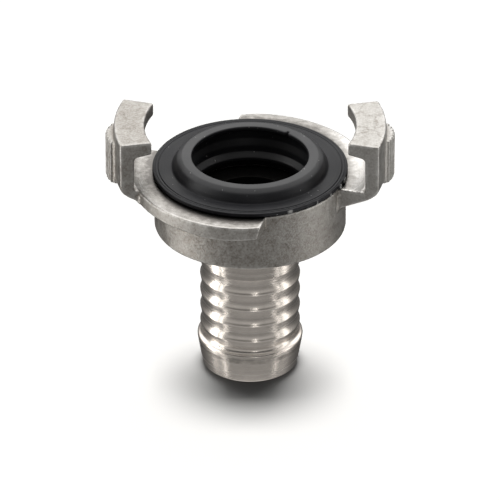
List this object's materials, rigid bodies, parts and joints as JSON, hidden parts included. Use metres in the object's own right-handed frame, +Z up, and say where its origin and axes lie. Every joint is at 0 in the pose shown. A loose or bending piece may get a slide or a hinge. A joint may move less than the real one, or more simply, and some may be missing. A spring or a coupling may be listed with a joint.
{
  "type": "claw hose coupling",
  "caption": "Two-claw bayonet hose coupling half: cast claw head that swivels on a turned barbed hose stem, with a black rubber lip seal on its face.",
  "frame": {"origin": "centre of the hose stem's bottom end face, which the coupling stands on", "axes": "+Z up the common axis of stem, head and seal, towards the claws; the two claws stand on +X and -X; the ramp flange seen on -Y runs from the middle to the -X claw"},
  "size_m": [0.0582, 0.0484, 0.0551],
  "materials": {
    "cast_steel": "blasted investment casting, matt warm grey, fine grain, machined rim",
    "turned_steel": "lathe-turned, bright, with fine rings round the axis",
    "black_rubber": "moulded nitrile rubber, satin"
  },
  "bodies": {
    "stem": {"hose_stem": "turned_steel"},
    "head": {"claw_head": "cast_steel"},
    "seal": {"lip_seal": "black_rubber"}
  },
  "joints": [
    {"name": "head_swivel", "type": "hinge", "parent": "stem", "child": "head", "pos_m": [0, 0, 0.0353], "axis": [0, 0, 1], "continuous": true},
    {"name": "seal_pull_out", "type": "slide", "parent": "head", "child": "seal", "axis": [0, 0, 1], "range_m": [0, 0.02]}
  ]
}
